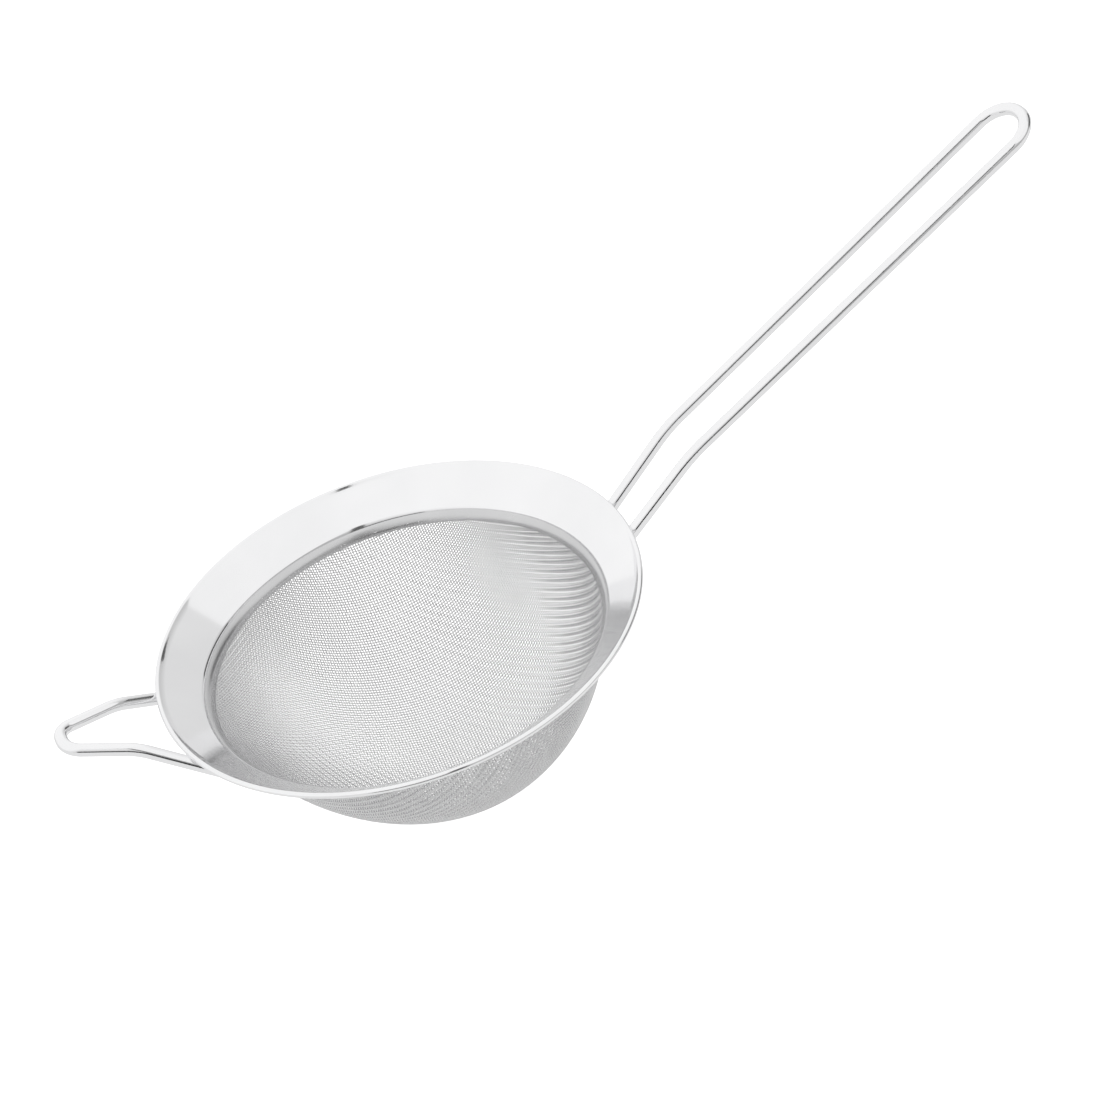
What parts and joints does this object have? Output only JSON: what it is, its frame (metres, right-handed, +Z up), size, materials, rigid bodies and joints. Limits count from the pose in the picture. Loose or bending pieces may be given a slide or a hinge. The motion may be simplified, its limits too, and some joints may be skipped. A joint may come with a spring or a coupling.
{
  "type": "tea strainer",
  "caption": "Round tea strainer: a fine woven steel bowl in a wide conical rim, with a long bent wire handle and a short wire rest loop opposite.",
  "frame": {"origin": "centre of the circle that the rolled rim bead's centre line makes, on the bowl's axis", "axes": "+Z up along the bowl's axis, +X towards the handle, -X towards the rest loop; the part mirrors itself in the XZ plane"},
  "size_m": [0.2114, 0.095, 0.0896],
  "materials": {
    "polished_sheet": "mirror-polished stainless sheet",
    "satin_ring": "satin stainless sheet",
    "woven_mesh": "bright twill-woven stainless wire cloth",
    "polished_wire": "bright drawn stainless wire",
    "weld_metal": "dull weld metal, slightly heat-tinted"
  },
  "bodies": {
    "root": {"rim_flange": "polished_sheet", "clamp_ring": "satin_ring", "mesh_bowl": "woven_mesh", "handle_wire": "polished_wire", "rest_loop": "polished_wire", "handle_weld_left": "weld_metal", "handle_weld_right": "weld_metal", "rest_weld_left": "weld_metal", "rest_weld_right": "weld_metal"}
  },
  "joints": []
}
